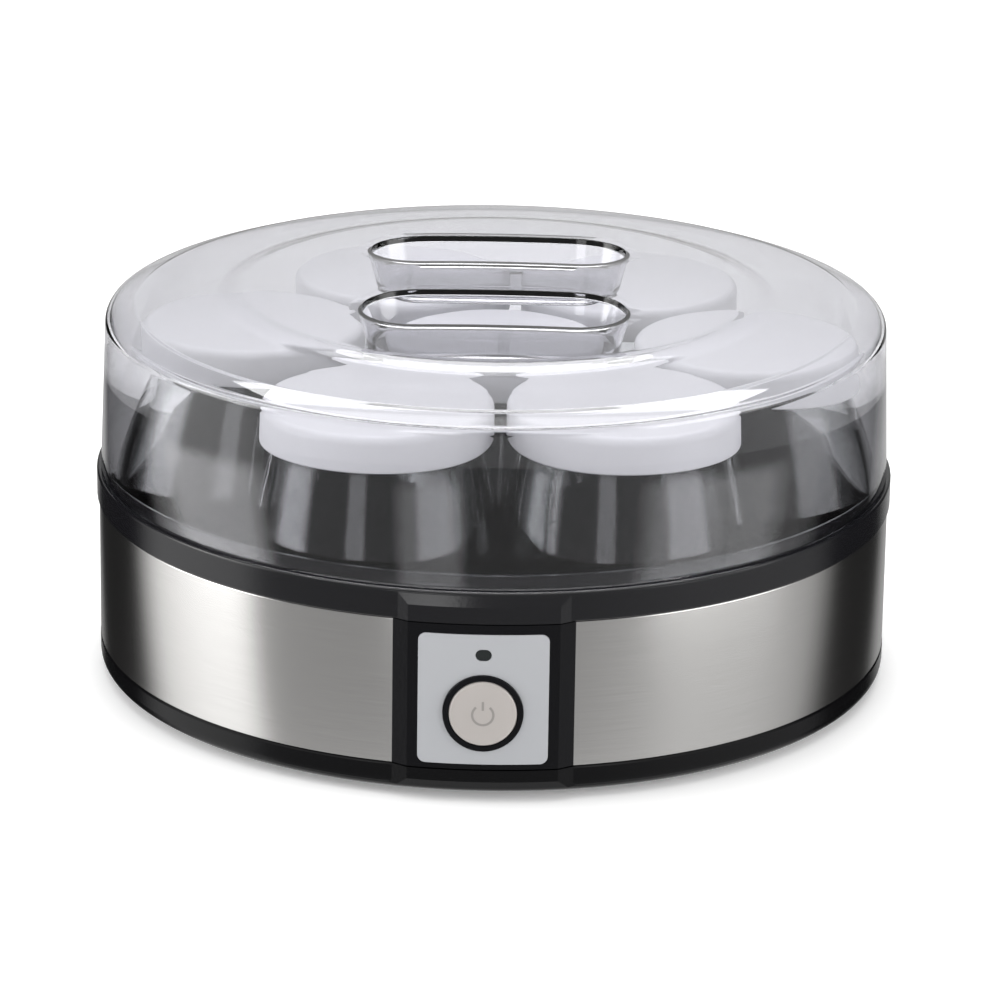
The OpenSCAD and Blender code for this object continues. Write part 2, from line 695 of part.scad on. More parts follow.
tub();
steel_band();
base_housing();
rubber_feet();
base_screws();
heating_plate();
plate_clamps();
plate_screws();
heating_wire();
wire_clips();
insulation_pad();
thermostat();
thermostat_bracket();
thermal_fuse();
terminal_block();
terminal_screw();
supply_wires();
heater_wires();
cord_gland();
panel_bezel();
label_plate();
indicator_window();
indicator_lamp();
switch_board();
board_screws();
push_switch();
switch_plunger();
button_cap();
lid();
for (i = [1:7]) {
    jar(i);
    cap(i);
}
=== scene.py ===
# %% [markdown]
# # A round yogurt maker
# A heated tub holds seven glass jars under a clear domed lid. The engineered model gives every
# piece its place and its size, and this lesson gives the pieces that are seen their final form
# and finish. All lengths in the lists below are millimetres, and the finished meshes are metres.

# %% Load the engineered model
import math

import bmesh
import bpy
from mathutils import Matrix, Quaternion, Vector, geometry


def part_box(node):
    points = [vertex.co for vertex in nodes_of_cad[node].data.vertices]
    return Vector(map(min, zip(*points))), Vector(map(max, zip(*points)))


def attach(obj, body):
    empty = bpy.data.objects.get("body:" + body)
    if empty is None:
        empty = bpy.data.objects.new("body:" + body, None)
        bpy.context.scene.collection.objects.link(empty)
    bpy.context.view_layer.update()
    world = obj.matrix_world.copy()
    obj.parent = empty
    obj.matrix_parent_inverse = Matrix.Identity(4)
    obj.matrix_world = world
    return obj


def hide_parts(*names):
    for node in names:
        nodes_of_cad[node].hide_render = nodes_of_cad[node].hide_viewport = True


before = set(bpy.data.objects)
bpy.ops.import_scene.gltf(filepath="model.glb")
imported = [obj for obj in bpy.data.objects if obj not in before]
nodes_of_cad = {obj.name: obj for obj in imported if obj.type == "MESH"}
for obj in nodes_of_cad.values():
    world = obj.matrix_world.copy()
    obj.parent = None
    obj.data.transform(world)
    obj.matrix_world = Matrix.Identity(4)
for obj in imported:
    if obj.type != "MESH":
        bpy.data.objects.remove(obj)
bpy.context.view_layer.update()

MM = 0.001
scene = bpy.context.scene
print("pieces in the engineered model:", len(nodes_of_cad))

# %% [markdown]
# ## The camera
# A product picture is taken with a long lens from a little above, so that the round lid keeps its
# shape. The lens is shifted down a little to put the body below the middle of the frame.

# %% Camera
CAMERA_DISTANCE = 1.489
CAMERA_ELEVATION = math.radians(18.04)
CAMERA_AZIMUTH = math.radians(1.0)
CAMERA_ROLL = math.radians(0.81)
AIM = Vector((0, 0, 0.070))

camera = bpy.data.objects.new("camera", bpy.data.cameras.new("camera"))
scene.collection.objects.link(camera)
camera.data.sensor_width = 36
camera.data.lens = 177.1
camera.data.shift_x = 0.0057
camera.data.shift_y = -0.0632
camera.data.clip_end = 50
back_off = Vector((
    math.sin(CAMERA_AZIMUTH) * math.cos(CAMERA_ELEVATION),
    -math.cos(CAMERA_AZIMUTH) * math.cos(CAMERA_ELEVATION),
    math.sin(CAMERA_ELEVATION),
))
camera.location = AIM + CAMERA_DISTANCE * back_off
camera.rotation_mode = "QUATERNION"
camera.rotation_quaternion = (-back_off).to_track_quat("-Z", "Y") @ Quaternion((0, 0, 1), CAMERA_ROLL)
scene.camera = camera
print("camera at", [round(v, 3) for v in camera.location])

# %% [markdown]
# ## Nodes written as sums
# Every finish below is a small sum of noises and places. A socket wrapped in a class that knows
# plus, minus and times lets such a sum be written in one line, and one method adds any other node.

# %% A socket that can be added and multiplied
class Field:
    """A node's output that can stand in a sum or a product."""

    def __init__(self, nodes, socket):
        self.nodes, self.socket = nodes, socket

    def math(self, operation, other=0.0, third=0.0):
        return self.nodes.node("ShaderNodeMath", {"operation": operation},
                               {0: self, 1: other, 2: third})

    def __add__(self, other):
        return self.math("ADD", other)

    __radd__ = __add__

    def __mul__(self, other):
        return self.math("MULTIPLY", other)

    __rmul__ = __mul__

    def __sub__(self, other):
        return self.math("SUBTRACT", other)

    def __rsub__(self, other):
        return self.nodes.node("ShaderNodeMath", {"operation": "SUBTRACT"}, {0: other, 1: self})

    def __truediv__(self, other):
        return self.math("DIVIDE", other)


class Nodes:
    """The node tree of a finish, a world or a shape. Its method node adds any node."""

    def __init__(self, tree):
        self.tree = tree
        tree.nodes.clear()

    def node(self, kind, settings=None, sockets=None, out=0):
        """Adds a node, sets it up, fills its sockets and gives back one output, or all of them."""
        made = self.tree.nodes.new(kind)
        for key, value in (settings or {}).items():
            if key == "stops":
                ramp = made.color_ramp
                while len(ramp.elements) > 1:
                    ramp.elements.remove(ramp.elements[-1])
                for place, level in value:
                    stop = ramp.elements.new(place)
                    stop.color = (*level, 1) if isinstance(level, tuple) else (level, level, level, 1)
                ramp.elements.remove(ramp.elements[0])
            else:
                setattr(made, key, value)
        for key, value in (sockets or {}).items():
            if isinstance(value, Field):
                self.tree.links.new(value.socket, made.inputs[key])
            else:
                made.inputs[key].default_value = value
        if out is None:
            return [Field(self, o) for o in made.outputs]
        return Field(self, made.outputs[out]) if made.outputs else None

    def mix(self, factor, a, b):
        """A blend of two colours."""
        return self.node("ShaderNodeMix", {"data_type": "RGBA"}, {0: factor, 6: a, 7: b}, 2)


print("node helpers ready")

# %% [markdown]
# ## The light
# A studio lights a shiny round object with what stands round it, because the object mirrors all of
# it. Here the surroundings are one soft sky whose brightness changes with the compass direction:
# a bright sheet at the left, a paler one at the right, dark flags behind them that draw the dark
# ends of the steel band, a bright ceiling and a pale ground. One broad lamp shines from above and
# one from behind, and the table glows a little by itself, so that it stays white.

# %% Surroundings
SIDE_LEVELS = [
    (0, 0.6), (14, 0.42), (22, 0.02), (57, 0.01), (63, 0.45), (70, 0.95), (90, 1.25), (103, 1.3), (107, 1.1),
    (113, 0.36), (160, 0.32), (204, 0.36), (228, 0.50), (240, 0.60), (262, 0.58), (284, 0.46),
    (290, 0.28), (297, 0.02), (329, 0.02), (336, 0.3), (344, 0.45), (360, 0.6),
]
WINDOW_LEVELS = [
    (0, 0.0), (71, 0.0), (80, 4.4), (106, 4.4), (114, 0.0), (152, 0.0), (156, 2.4), (170, 2.4),
    (174, 0.0), (222, 0.0), (230, 3.2), (266, 3.2), (276, 0.0), (360, 0.0),
]
CEILING_LEVEL = 0.8
FLOOR_LEVEL = 0.9

world = bpy.data.worlds.new("studio")
scene.world = world
world.use_nodes = True
sky = Nodes(world.node_tree)
direction = sky.node("ShaderNodeTexCoord", out="Generated")
east, north, up = sky.node("ShaderNodeSeparateXYZ", {}, {0: direction}, None)
compass = sky.node("ShaderNodeMath", {"operation": "ARCTAN2"}, {0: east, 1: 0 - north})
turn = compass / (2 * math.pi) + 0.5


def levels_round(levels):
    """A brightness for each compass direction, from (degrees, level) stops."""
    brightest = max(level for _, level in levels)
    return sky.node("ShaderNodeValToRGB", {"stops": [(a / 360, v / brightest) for a, v in levels]},
                    {0: turn}) * brightest


def ramp_up(low, high):
    """0 below one height of the sky and 1 above another."""
    return sky.node("ShaderNodeMapRange", {"interpolation_type": "SMOOTHSTEP"},
                    {0: up, 1: low, 2: high, 3: 0.0, 4: 1.0})


windows = levels_round(WINDOW_LEVELS) * ramp_up(0.02, 0.10) * (1 - ramp_up(0.50, 0.60))
side_light = levels_round(SIDE_LEVELS) + windows
above = side_light + (CEILING_LEVEL - side_light) * ramp_up(0.50, 0.80)
level = FLOOR_LEVEL + (above - FLOOR_LEVEL) * ramp_up(-0.80, -0.55)
glow = sky.node("ShaderNodeBackground", {}, {0: (1, 1, 1, 1), 1: level})
sky.node("ShaderNodeOutputWorld", {}, {0: glow}, None)
print("surroundings have", len(SIDE_LEVELS), "levels and 3 windows")


def soft_lamp(name, place, aim, size, watts):
    """A square lamp that points at a place on the object."""
    lamp = bpy.data.objects.new(name, bpy.data.lights.new(name, "AREA"))
    lamp.data.shape = "RECTANGLE"
    lamp.data.size, lamp.data.size_y = size
    lamp.data.energy = watts
    lamp.location = place
    lamp.rotation_euler = (Vector(aim) - Vector(place)).to_track_quat("-Z", "Y").to_euler()
    scene.collection.objects.link(lamp)
    return lamp


soft_lamp("ceiling_lamp", (0, 0.2, 1.8), (0, 0, 0), (1.8, 1.8), 13)
soft_lamp("back_sheet", (0, 1.3, 1.5), (0, 0, 0.1), (1.2, 0.35), 6)
scene.view_settings.view_transform = "Standard"

# %% [markdown]
# ## Finishes
# Moulded plastic is never quite even: its gloss wanders a little and its face has a faint orange
# peel. Brushed steel has fine lines along the band. Glass and the clear lid let lamps shine through
# them, so that what is inside is lit.

# %% Helpers for finishes
made_finishes = {}


def new_finish(name):
    material = bpy.data.materials.new(name)
    material.use_nodes = True
    made_finishes[name] = material
    return material, Nodes(material.node_tree)


def object_place(nodes, stretch=(1, 1, 1)):
    place = nodes.node("ShaderNodeTexCoord", out="Object")
    return nodes.node("ShaderNodeMapping", {}, {"Vector": place, "Scale": stretch})


def noise(nodes, vector, scale, detail=3.0, roughness=0.5):
    return nodes.node("ShaderNodeTexNoise", {}, {
        "Vector": vector, "Scale": scale, "Detail": detail, "Roughness": roughness})


def bump(nodes, height, distance, strength=1.0):
    return nodes.node("ShaderNodeBump", {}, {
        "Height": height, "Distance": distance, "Strength": strength})


def surface(nodes, **sockets):
    """The one shader of an opaque finish. Underscores stand for the spaces in a socket's name."""
    shader = nodes.node("ShaderNodeBsdfPrincipled", {}, {
        key.replace("_", " "): value for key, value in sockets.items()})
    nodes.node("ShaderNodeOutputMaterial", {}, {0: shader}, None)
    return shader


def plastic(name, colour, gloss, peel=0.00002, peel_scale=900, shine=0.5, uneven=0.06, speckle=0.0):
    """Moulded plastic: an even colour, a wandering gloss and a faint orange peel."""
    material, nodes = new_finish(name)
    place = object_place(nodes)
    cloud = noise(nodes, place, 22, 4)
    grain = noise(nodes, place, peel_scale, 2)
    dark = tuple(c * (1 - speckle) for c in colour)
    shade = nodes.mix(grain, (*dark, 1), (*colour, 1))
    surface(nodes, Base_Color=nodes.mix(cloud * 0.5, shade, (*(c * 0.93 for c in colour), 1)),
            Roughness=cloud * uneven + (gloss - uneven / 2),
            Normal=bump(nodes, grain, peel), Specular_IOR_Level=shine)
    return material


def metal(name, colour, gloss, lines=(1, 1, 1), line_scale=400, depth=0.00001):
    """Bare metal with a grain that lines stretches."""
    material, nodes = new_finish(name)
    grain = noise(nodes, object_place(nodes, lines), line_scale, 3)
    stain = noise(nodes, object_place(nodes), 30, 3)
    dull = tuple(c * 0.85 for c in colour)
    surface(nodes, Base_Color=nodes.mix(stain * 0.6, (*colour, 1), (*dull, 1)), Metallic=1.0,
            Roughness=grain * 0.12 + gloss, Normal=bump(nodes, grain, depth))
    return material


print("finish helpers ready")

# %% [markdown]
# ### Brushed steel
# The band was brushed along its length before it was bent, so its lines run round the body. Lines
# along the surface spread a reflection across them, which makes tall soft streaks. The pattern is
# a noise on the angle and the height: slow round the body and fast up it.

# %% Brushed steel
def brushed_steel(name):
    material, nodes = new_finish(name)
    x, y, z = nodes.node("ShaderNodeSeparateXYZ", {}, {
        0: nodes.node("ShaderNodeTexCoord", out="Object")}, None)
    angle = nodes.node("ShaderNodeMath", {"operation": "ARCTAN2"}, {0: x, 1: y})
    along = nodes.node("ShaderNodeCombineXYZ", {}, {0: angle * 3.0, 1: z * 2600})
    lines = noise(nodes, along, 1.0, 4, 0.7)
    fine = noise(nodes, nodes.node("ShaderNodeCombineXYZ", {}, {0: angle * 14, 1: z * 6500}), 1.0, 2)
    grain = lines * 0.6 + fine * 0.4
    surface(nodes,
            Base_Color=nodes.mix(grain, (0.60, 0.59, 0.575, 1), (0.74, 0.73, 0.715, 1)),
            Metallic=1.0, Roughness=grain * 0.08 + 0.19, Anisotropic=0.85,
            Anisotropic_Rotation=0.25,
            Normal=bump(nodes, grain, 0.000012, 0.6))
    return material


brushed_steel("band_steel")
print("steel made")

# %% [markdown]
# ### Clear plastic and glass
# The shader bends light as the real material does, so the walls show their thickness in thin dark
# and bright lines. For rays on their way to a lamp it lets everything pass, because a bent path
# finds a lamp too seldom, and what is inside would be speckled.

# %% Clear plastic and glass
def clear_wall(name, tint, bend, gloss, wave, wave_scale):
    material, nodes = new_finish(name)
    place = object_place(nodes)
    smudge = noise(nodes, place, 35, 3)
    ripple = noise(nodes, place, wave_scale, 1)
    glass = nodes.node("ShaderNodeBsdfPrincipled", {}, {
        "Base Color": (*tint, 1), "Roughness": smudge * 0.02 + gloss, "IOR": bend,
        "Transmission Weight": 1.0, "Normal": bump(nodes, ripple, wave)})
    passing = nodes.node("ShaderNodeBsdfTransparent", {}, {0: (*(0.98 * math.sqrt(t) for t in tint), 1)})
    is_shadow = nodes.node("ShaderNodeLightPath", out="Is Shadow Ray")
    both = nodes.node("ShaderNodeMixShader", {}, {0: is_shadow, 1: glass, 2: passing})
    nodes.node("ShaderNodeOutputMaterial", {}, {0: both}, None)
    return material


clear_wall("lid_clear", (0.765, 0.765, 0.79), 1.49, 0.0, 0.00002, 14)
clear_wall("jar_glass", (0.93, 0.94, 0.94), 1.5, 0.0, 0.00006, 30)
print("clear finishes made")

# %% [markdown]
# ### Plastics, rubber, metal and the rest
# The rim, the bezel and the base are the same gloss black resin. The caps are a soft white resin,
# the button is warmer, and the label plate is satin grey. Inside are the ordinary materials of a
# small heater: tinned steel, aluminium, silicone wire, felt and circuit board.

# %% Plastics and the rest
plastic("tub_plastic", (0.006, 0.006, 0.0075), 0.17, shine=0.5)
plastic("bezel_plastic", (0.004, 0.004, 0.005), 0.12, shine=0.22)
plastic("base_plastic", (0.003, 0.003, 0.0035), 0.18, shine=0.22)
plastic("cap_white", (0.88, 0.88, 0.895), 0.34, peel=0.00003, peel_scale=700)
plastic("button_ivory", (0.43, 0.40, 0.38), 0.32)
plastic("button_mark", (0.28, 0.265, 0.25), 0.4)
plastic("label_grey", (0.41, 0.418, 0.436), 0.38, peel=0.00001, peel_scale=1600)
plastic("window_dark", (0.014, 0.017, 0.017), 0.2)
plastic("foot_rubber", (0.03, 0.03, 0.03), 0.75, peel=0.00008, peel_scale=1400)
plastic("gland_rubber", (0.02, 0.02, 0.02), 0.6, peel=0.00006, peel_scale=1400)
plastic("wire_silicone", (0.62, 0.14, 0.06), 0.5)
plastic("wire_brown", (0.16, 0.07, 0.035), 0.42)
plastic("wire_white", (0.72, 0.72, 0.70), 0.42)
plastic("terminal_plastic", (0.66, 0.64, 0.58), 0.45)
plastic("thermostat_body", (0.035, 0.025, 0.02), 0.35)
plastic("fuse_body", (0.62, 0.58, 0.44), 0.35)
plastic("lamp_amber", (0.75, 0.27, 0.04), 0.15)
plastic("board_green", (0.02, 0.12, 0.05), 0.3, speckle=0.3)
plastic("switch_black", (0.02, 0.02, 0.022), 0.35)
plastic("plunger_white", (0.7, 0.7, 0.68), 0.4)
plastic("pad_felt", (0.72, 0.68, 0.58), 0.9, peel=0.0004, peel_scale=500, speckle=0.35)
metal("screw_steel", (0.62, 0.62, 0.63), 0.25)
metal("plate_aluminium", (0.80, 0.80, 0.81), 0.32, (1, 12, 1))
metal("clamp_steel", (0.58, 0.57, 0.54), 0.3)
print("finishes:", len(made_finishes))

# %% [markdown]
# ### Dressing the engineered pieces
# A piece that already has its right form keeps it. It only gets its finish, slot by slot.

# %% Put the finishes on the engineered pieces
for piece in nodes_of_cad.values():
    for place in piece.material_slots:
        place.material = made_finishes[place.material.name.split(".")[0]]
print("dressed", len(nodes_of_cad), "engineered pieces")

# %% [markdown]
# ## Making meshes
# Most pieces here are turned shapes. A profile is a list of corners, each with the radius that
# rounds it, because no moulded edge is sharp and the rounding is what catches the light. A finished
# mesh is merged at its seams, turned outwards, smoothed, and kept sharp only at real edges.

# %% Mesh helpers
def rounded(corners, steps=5):
    """A closed outline through (r, z, rounding) corners."""
    outline = []
    for i, (r, z, rounding) in enumerate(corners):
        here = Vector((r, z))
        if rounding == 0:
            outline.append((r, z))
            continue
        before = (Vector(corners[i - 1][:2]) - here).normalized()
        after = (Vector(corners[(i + 1) % len(corners)][:2]) - here).normalized()
        half = before.angle(after) / 2
        reach = rounding / math.tan(half)
        middle = here + (before + after).normalized() * (rounding / math.sin(half))
        start, end = here + before * reach - middle, here + after * reach - middle
        sweep = start.angle_signed(end)
        for k in range(steps + 1):
            spot = middle + Matrix.Rotation(-sweep * k / steps, 2) @ start
            outline.append((spot.x, spot.y))
    return outline


def finish_mesh(mesh, sharp=32, merge=0.00001):
    """Merges the seams, turns the faces outwards, and smooths all but the real edges."""
    shape = bmesh.new()
    shape.from_mesh(mesh)
    bmesh.ops.remove_doubles(shape, verts=shape.verts, dist=merge)
    bmesh.ops.dissolve_degenerate(shape, edges=shape.edges, dist=merge / 4)
    if shape.calc_volume(signed=True) < 0:
        bmesh.ops.reverse_faces(shape, faces=shape.faces)
    shape.to_mesh(mesh)
    shape.free()
    mesh.shade_smooth()
    mesh.set_sharp_from_angle(angle=math.radians(sharp))
    mesh.update()
    return mesh


def piece_of(name, mesh, finish):
    """A finished object at the origin with one finish."""
    mesh.materials.clear()
    mesh.materials.append(made_finishes[finish])
    made = bpy.data.objects.new(name, mesh)
    scene.collection.objects.link(made)
    return made


def mesh_of(name, points, faces):
    """A mesh from points in millimetres."""
    mesh = bpy.data.meshes.new(name)
    mesh.from_pydata([Vector(p) * MM for p in points], [], faces)
    return finish_mesh(mesh)


def columns_mesh(name, columns, closed):
    """Joins profiles that stand at angles round the axis. Each column is (angle, outline)."""
    points, faces = [], []
    size = len(columns[0][1])
    for angle, outline in columns:
        a = math.radians(angle)
        points += [(r * math.cos(a), r * math.sin(a), z) for r, z in outline]
    last = len(columns) if closed else len(columns) - 1
    for i in range(last):
        j = (i + 1) % len(columns)
        for k in range(size):
            m = (k + 1) % size
            faces.append((i * size + k, j * size + k, j * size + m, i * size + m))
    if not closed:
        faces.append(tuple(range(size - 1, -1, -1)))
        faces.append(tuple((len(columns) - 1) * size + k for k in range(size)))
    return mesh_of(name, points, faces)


def put(piece, body, finish, *replaced):
    """Says which body a piece rides on and which pieces it stands for. The finish argument is not used."""
    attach(piece, body)
    if replaced:
        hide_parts(*replaced)
    return piece


def middle(node):
    low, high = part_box(node)
    return (low + high) / 2


print("mesh helpers ready")

# %% [markdown]
# ## A lathe in Geometry Nodes
# Jars, caps, a foot and the button are all turned, so one node tree turns them all. It lays out a
# flat grid, one row for each point of the profile and one column for each step round, and then
# moves every grid point to its place: the profile's radius and height, swung round by its column.
# The tree is asked for its sizes by name, and ends with the finish.

# %% The lathe tree
def tree_inputs(tree, wanted):
    """Adds named inputs to a tree and gives back the socket identifier of each."""
    tree.interface.new_socket("Geometry", in_out="INPUT", socket_type="NodeSocketGeometry")
    found = {}
    for name, kind in wanted.items():
        socket = tree.interface.new_socket(name, in_out="INPUT", socket_type="NodeSocket" + kind)
        found[name] = socket.identifier
    tree.interface.new_socket("Geometry", in_out="OUTPUT", socket_type="NodeSocketGeometry")
    return found


def tree_end(nodes, shape, finish):
    real = nodes.node("GeometryNodeRealizeInstances", {}, {0: shape})
    dressed = nodes.node("GeometryNodeSetMaterial", {}, {"Geometry": real, "Material": finish})
    nodes.node("NodeGroupOutput", {}, {0: dressed}, None)


lathe = bpy.data.node_groups.new("lathe", "GeometryNodeTree")
lathe_inputs = tree_inputs(lathe, {"Steps Round": "Int", "Place": "Vector", "Finish": "Material"})
nodes = Nodes(lathe)
profile, steps_round, place, finish, _ = nodes.node("NodeGroupInput", {}, {}, None)
rows = nodes.node("GeometryNodeAttributeDomainSize", {"component": "MESH"}, {0: profile})
grid = nodes.node("GeometryNodeMeshGrid", {}, {
    "Size X": 1.0, "Size Y": 1.0, "Vertices X": steps_round + 1, "Vertices Y": rows})
index = nodes.node("GeometryNodeInputIndex")
column = ((index + 0.5) / rows).math("FLOOR")
row = index - column * rows
spot = nodes.node("GeometryNodeSampleIndex", {"data_type": "FLOAT_VECTOR", "domain": "POINT"}, {
    "Geometry": profile, "Value": nodes.node("GeometryNodeInputPosition"), "Index": row + 0.1})
radius, _, height = nodes.node("ShaderNodeSeparateXYZ", {}, {0: spot}, None)
swing = column * (2 * math.pi) / steps_round
turned_to = nodes.node("ShaderNodeCombineXYZ", {}, {
    0: radius * swing.math("COSINE"), 1: radius * swing.math("SINE"), 2: height})
turned_spot = nodes.node("ShaderNodeVectorMath", {"operation": "ADD"}, {0: turned_to, 1: place})
moved = nodes.node("GeometryNodeSetPosition", {}, {"Geometry": grid, "Position": turned_spot})
seamless = nodes.node("GeometryNodeMergeByDistance", {}, {"Geometry": moved, "Distance": 0.00001})
tree_end(nodes, seamless, finish)
print("lathe inputs:", list(lathe_inputs))


# %% [markdown]
# The tree works on a carrier object that holds only the profile's points. The result is copied to
# a plain mesh, and the carrier is thrown away with its modifier.

# %% Run a tree and keep its mesh
def grown(name, carrier_points, tree, inputs, values, finish, sharp=32, edges=()):
    """Runs a tree on a carrier of points in millimetres and keeps the result as a plain mesh."""
    carrier_mesh = bpy.data.meshes.new(name + "_carrier")
    carrier_mesh.from_pydata([Vector(p) * MM for p in carrier_points], edges, [])
    carrier = bpy.data.objects.new(name + "_carrier", carrier_mesh)
    scene.collection.objects.link(carrier)
    modifier = carrier.modifiers.new("tree", "NODES")
    modifier.node_group = tree
    for key, value in {**values, "Finish": made_finishes[finish]}.items():
        modifier[inputs[key]] = value
    evaluated = carrier.evaluated_get(bpy.context.evaluated_depsgraph_get())
    mesh = bpy.data.meshes.new_from_object(evaluated)
    mesh.name = name
    carrier.modifiers.remove(modifier)
    bpy.data.objects.remove(carrier)
    bpy.data.meshes.remove(carrier_mesh)
    made = piece_of(name, finish_mesh(mesh, sharp), finish)
    print(name, len(mesh.polygons), "faces")
    return made


def turned(name, outline, finish, place=(0, 0, 0), steps_round=128, sharp=32):
    """A piece turned from a closed (r, z) outline."""
    points = [(r, 0, z) for r, z in outline + outline[:1]]
    return grown(name, points, lathe, lathe_inputs,
                 {"Steps Round": steps_round, "Place": tuple(c * MM for c in place)}, finish, sharp)


# %% [markdown]
# ## The lid
# The lid is one clear moulding: a tall wall, a rounded corner, a sloping shoulder and a shallow
# dome with a small step at its edge. Two finger wells are sunk into the dome, and the bar between
# them is the grip. The turned part is easy, but the wells break the circle. So the dome's middle is
# a sheet of triangles laid between the round part and the wells, lifted to the dome's height, and
# the wells are loops of one stadium outline that shrink as they go down. The same rule, run two
# millimetres deeper, gives the inner face. Only the wells' own sides are a little thinner.

# %% Sizes of the lid
LID_WALL = 2.0
LID_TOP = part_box("lid")[1].z / MM
LID_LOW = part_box("lid")[0].z / MM
LID_LOW_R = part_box("lid")[1].x / MM
CORNER_Z, CORNER_R, CORNER_ROUND = 107.6, 117.05, 3.4
CREASE_R, CREASE_Z = 108.0, 113.1
DOME_R, DOME_EDGE_Z = 77.0, 117.6
STEP_R, STEP_Z, STEP_SOFT = 83.0, 116.0, 1.4
DOME_SPHERE = (DOME_R ** 2 + (LID_TOP - DOME_EDGE_Z) ** 2) / (2 * (LID_TOP - DOME_EDGE_Z))
SHEET_R = 66.0
WELL_Y, WELL_END_X, WELL_FLOOR = 31.3, 23.0, 108.0
WELL_FLOOR_R, WELL_DRAFT, WELL_WALL = 12.98, 0.24, 0.7
LIP_ROUND, FLOOR_ROUND = 0.45, 1.4
AROUND = 240
WELL_BEND, WELL_STRAIGHT = 20, 14


def plain_height(r):
    """The dome, the short steep step at its edge, and the shoulder's shallow cone."""
    if r < DOME_R:
        return LID_TOP - DOME_SPHERE + math.sqrt(DOME_SPHERE ** 2 - r * r)
    if r < STEP_R:
        return DOME_EDGE_Z + (STEP_Z - DOME_EDGE_Z) * (r - DOME_R) / (STEP_R - DOME_R)
    return STEP_Z + (CREASE_Z - STEP_Z) * (r - STEP_R) / (CREASE_R - STEP_R)


def dome_height(r):
    """The same with its bends softened, as the mean over a short way in and out."""
    if abs(r - (DOME_R + STEP_R) / 2) > 9:
        return plain_height(r)
    return sum(plain_height(r + STEP_SOFT * k / 4) for k in range(-4, 5)) / 9


print("lid is", round(2 * LID_LOW_R, 1), "mm wide and", round(LID_TOP - LID_LOW, 1), "mm tall")

# %% Wells and dome of one face of the lid
def stadium(radius, side):
    """Points round a well, counter-clockwise. side is -1 for the front well and 1 for the rear."""
    ring = []
    for end, first in ((1, -90), (-1, 90)):
        for k in range(WELL_BEND + 1):
            a = math.radians(first + 180 * k / WELL_BEND)
            ring.append((end * WELL_END_X + radius * math.cos(a), side * WELL_Y + radius * math.sin(a)))
        x0, x1, y = end * WELL_END_X, -end * WELL_END_X, ring[-1][1]
        ring += [(x0 + (x1 - x0) * k / WELL_STRAIGHT, y) for k in range(1, WELL_STRAIGHT)]
    return ring


def well_loops(side, deep):
    """The loops of a well from its brim to its floor. deep is 0 outside and the wall inside."""
    floor = WELL_FLOOR - deep
    side_wall = deep * WELL_WALL
    lip, foot = LIP_ROUND, FLOOR_ROUND + deep * 0.6
    brim = WELL_FLOOR_R + side_wall + WELL_DRAFT * (dome_height(30) - deep - lip - WELL_FLOOR)
    loops = []
    for k in range(5):
        a = math.radians(90 * k / 4)
        loops.append([(x, y, dome_height(math.hypot(x, y)) - deep - lip * (1 - math.cos(a)))
                      for x, y in stadium(brim + lip * (1 - math.sin(a)), side)])
    foot_z = floor + foot
    foot_r = WELL_FLOOR_R + side_wall + WELL_DRAFT * (foot_z - WELL_FLOOR)
    for share in (0.5, 1.0):
        radius = brim + (foot_r - brim) * share
        rim = loops[4]
        loops.append([(x, y, rim[i][2] + (foot_z - rim[i][2]) * share)
                      for i, (x, y) in enumerate(stadium(radius, side))])
    for k in range(1, 5):
        a = math.radians(90 * k / 4)
        loops.append([(x, y, floor + foot * (1 - math.sin(a)))
                      for x, y in stadium(foot_r - foot * (1 - math.cos(a)), side)])
    loops.append([(x, y, floor) for x, y in stadium(foot_r - foot - 5, side)])
    return loops


def sheet_with_wells(deep, ring):
    """Triangles between a ring of the turned part and both wells, and the wells themselves."""
    points, faces = list(ring), []
    edges = [(i, (i + 1) % len(ring)) for i in range(len(ring))]
    wells = []
    for side in (-1, 1):
        loops = well_loops(side, deep)
        start = len(points)
        for loop in loops:
            points += loop
        size = len(loops[0])
        wells.append((side, start, size, len(loops)))
        edges += [(start + i, start + (i + 1) % size) for i in range(size)]
        for j in range(len(loops) - 1):
            for i in range(size):
                a, b = start + j * size + i, start + j * size + (i + 1) % size
                faces.append((a, b, b + size, a + size))
        last = start + (len(loops) - 1) * size
        faces.append(tuple(last + i for i in range(size)))
    brim = math.dist(points[wells[0][1]][:2], (WELL_END_X, -WELL_Y))

    def off_wells(x, y, margin):
        return all(math.dist((x, y), (max(-WELL_END_X, min(WELL_END_X, x)), side * WELL_Y))
                   > brim + margin for side in (-1, 1))

    flat = [Vector(p[:2]) for p in points]
    used = list(range(len(ring)))
    for side, start, size, count in wells:
        used += range(start, start + size)
    seeds = []
    step = 4.6
    for j in range(-15, 16):
        for i in range(-15, 16):
            x, y = (i + (j % 2) / 2) * step, j * step * 0.866
            if math.hypot(x, y) < SHEET_R - 2.6 and off_wells(x, y, 2.2):
                seeds.append((x, y))
    cloud = [flat[i] for i in used] + [Vector(s) for s in seeds]
    place_of = {old: new for new, old in enumerate(used)}
    fixed = [(place_of[a], place_of[b]) for a, b in edges]
    spots, _, triangles, origins, _, _ = geometry.delaunay_2d_cdt(cloud, fixed, [], 0, 1e-6)
    number = []
    for spot, origin in zip(spots, origins):
        if origin and origin[0] < len(used):
            number.append(used[origin[0]])
        else:
            number.append(len(points))
            points.append((spot.x, spot.y, dome_height(spot.length) - deep))
    for triangle in triangles:
        x = sum(spots[i].x for i in triangle) / 3
        y = sum(spots[i].y for i in triangle) / 3
        if off_wells(x, y, 0) and math.hypot(x, y) < SHEET_R:
            faces.append(tuple(number[i] for i in triangle))
    return points, faces


print("well brim is", len(stadium(10, 1)), "points round")

